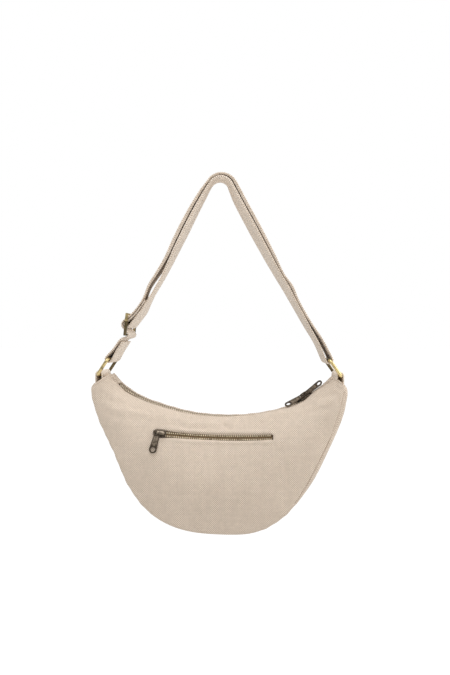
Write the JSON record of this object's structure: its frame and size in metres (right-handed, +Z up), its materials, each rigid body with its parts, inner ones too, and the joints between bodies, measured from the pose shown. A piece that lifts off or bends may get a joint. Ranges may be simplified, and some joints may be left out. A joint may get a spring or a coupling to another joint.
{
  "type": "belt bag",
  "caption": "Crescent canvas belt bag with a zipped top, a zipped front pocket, rectangular rings and an adjustable strap, hanging by its strap.",
  "frame": {"origin": "level with the underside of the strap's front edge at its highest point and midway across the strap, where a hook, a hand or a shoulder carries the bag", "axes": "+Z up, -Y out of the front with the pocket, +X to the right seen from the front"},
  "size_m": [0.3166, 0.073, 0.4441],
  "materials": {
    "canvas": "natural hemp or linen canvas, matt",
    "zip_tape": "woven tan tape, matt",
    "antique_brass": "antique gold, satin",
    "zip_metal": "dark bronze, brushed"
  },
  "bodies": {
    "bag": {"front_panel": "canvas", "back_panel": "canvas", "gusset": "canvas", "main_tape_front": "zip_tape", "main_tape_back": "zip_tape", "main_chain": "zip_metal", "main_slider": "zip_metal", "pocket_tape_upper": "zip_tape", "pocket_tape_lower": "zip_tape", "pocket_chain": "zip_metal", "pocket_slider": "zip_metal", "ring_tab_left": "canvas", "ring_tab_right": "canvas", "ring_left": "antique_brass", "ring_right": "antique_brass", "strap": "canvas", "slide_buckle": "antique_brass"},
    "left_tab": {"main_pull_left": "zip_metal"},
    "right_tab": {"main_pull_right": "zip_metal"},
    "pocket_tab": {"pocket_pull": "zip_metal"}
  },
  "joints": [
    {"name": "main_pull_left_lift", "type": "hinge", "parent": "bag", "child": "left_tab", "pos_m": [0.10135, 0.00069, -0.26679], "axis": [-0.4824, 0.8321, 0.2738], "range_deg": [0, 75]},
    {"name": "main_pull_right_lift", "type": "hinge", "parent": "bag", "child": "right_tab", "pos_m": [0.10393, 0.00072, -0.26489], "axis": [0.2102, -0.8526, -0.4785], "range_deg": [0, 75]},
    {"name": "pocket_pull_swing", "type": "hinge", "parent": "bag", "child": "pocket_tab", "pos_m": [-0.07434, -0.03155, -0.30861], "axis": [0.1112, -0.9605, 0.2551], "range_deg": [-75, 35]}
  ]
}
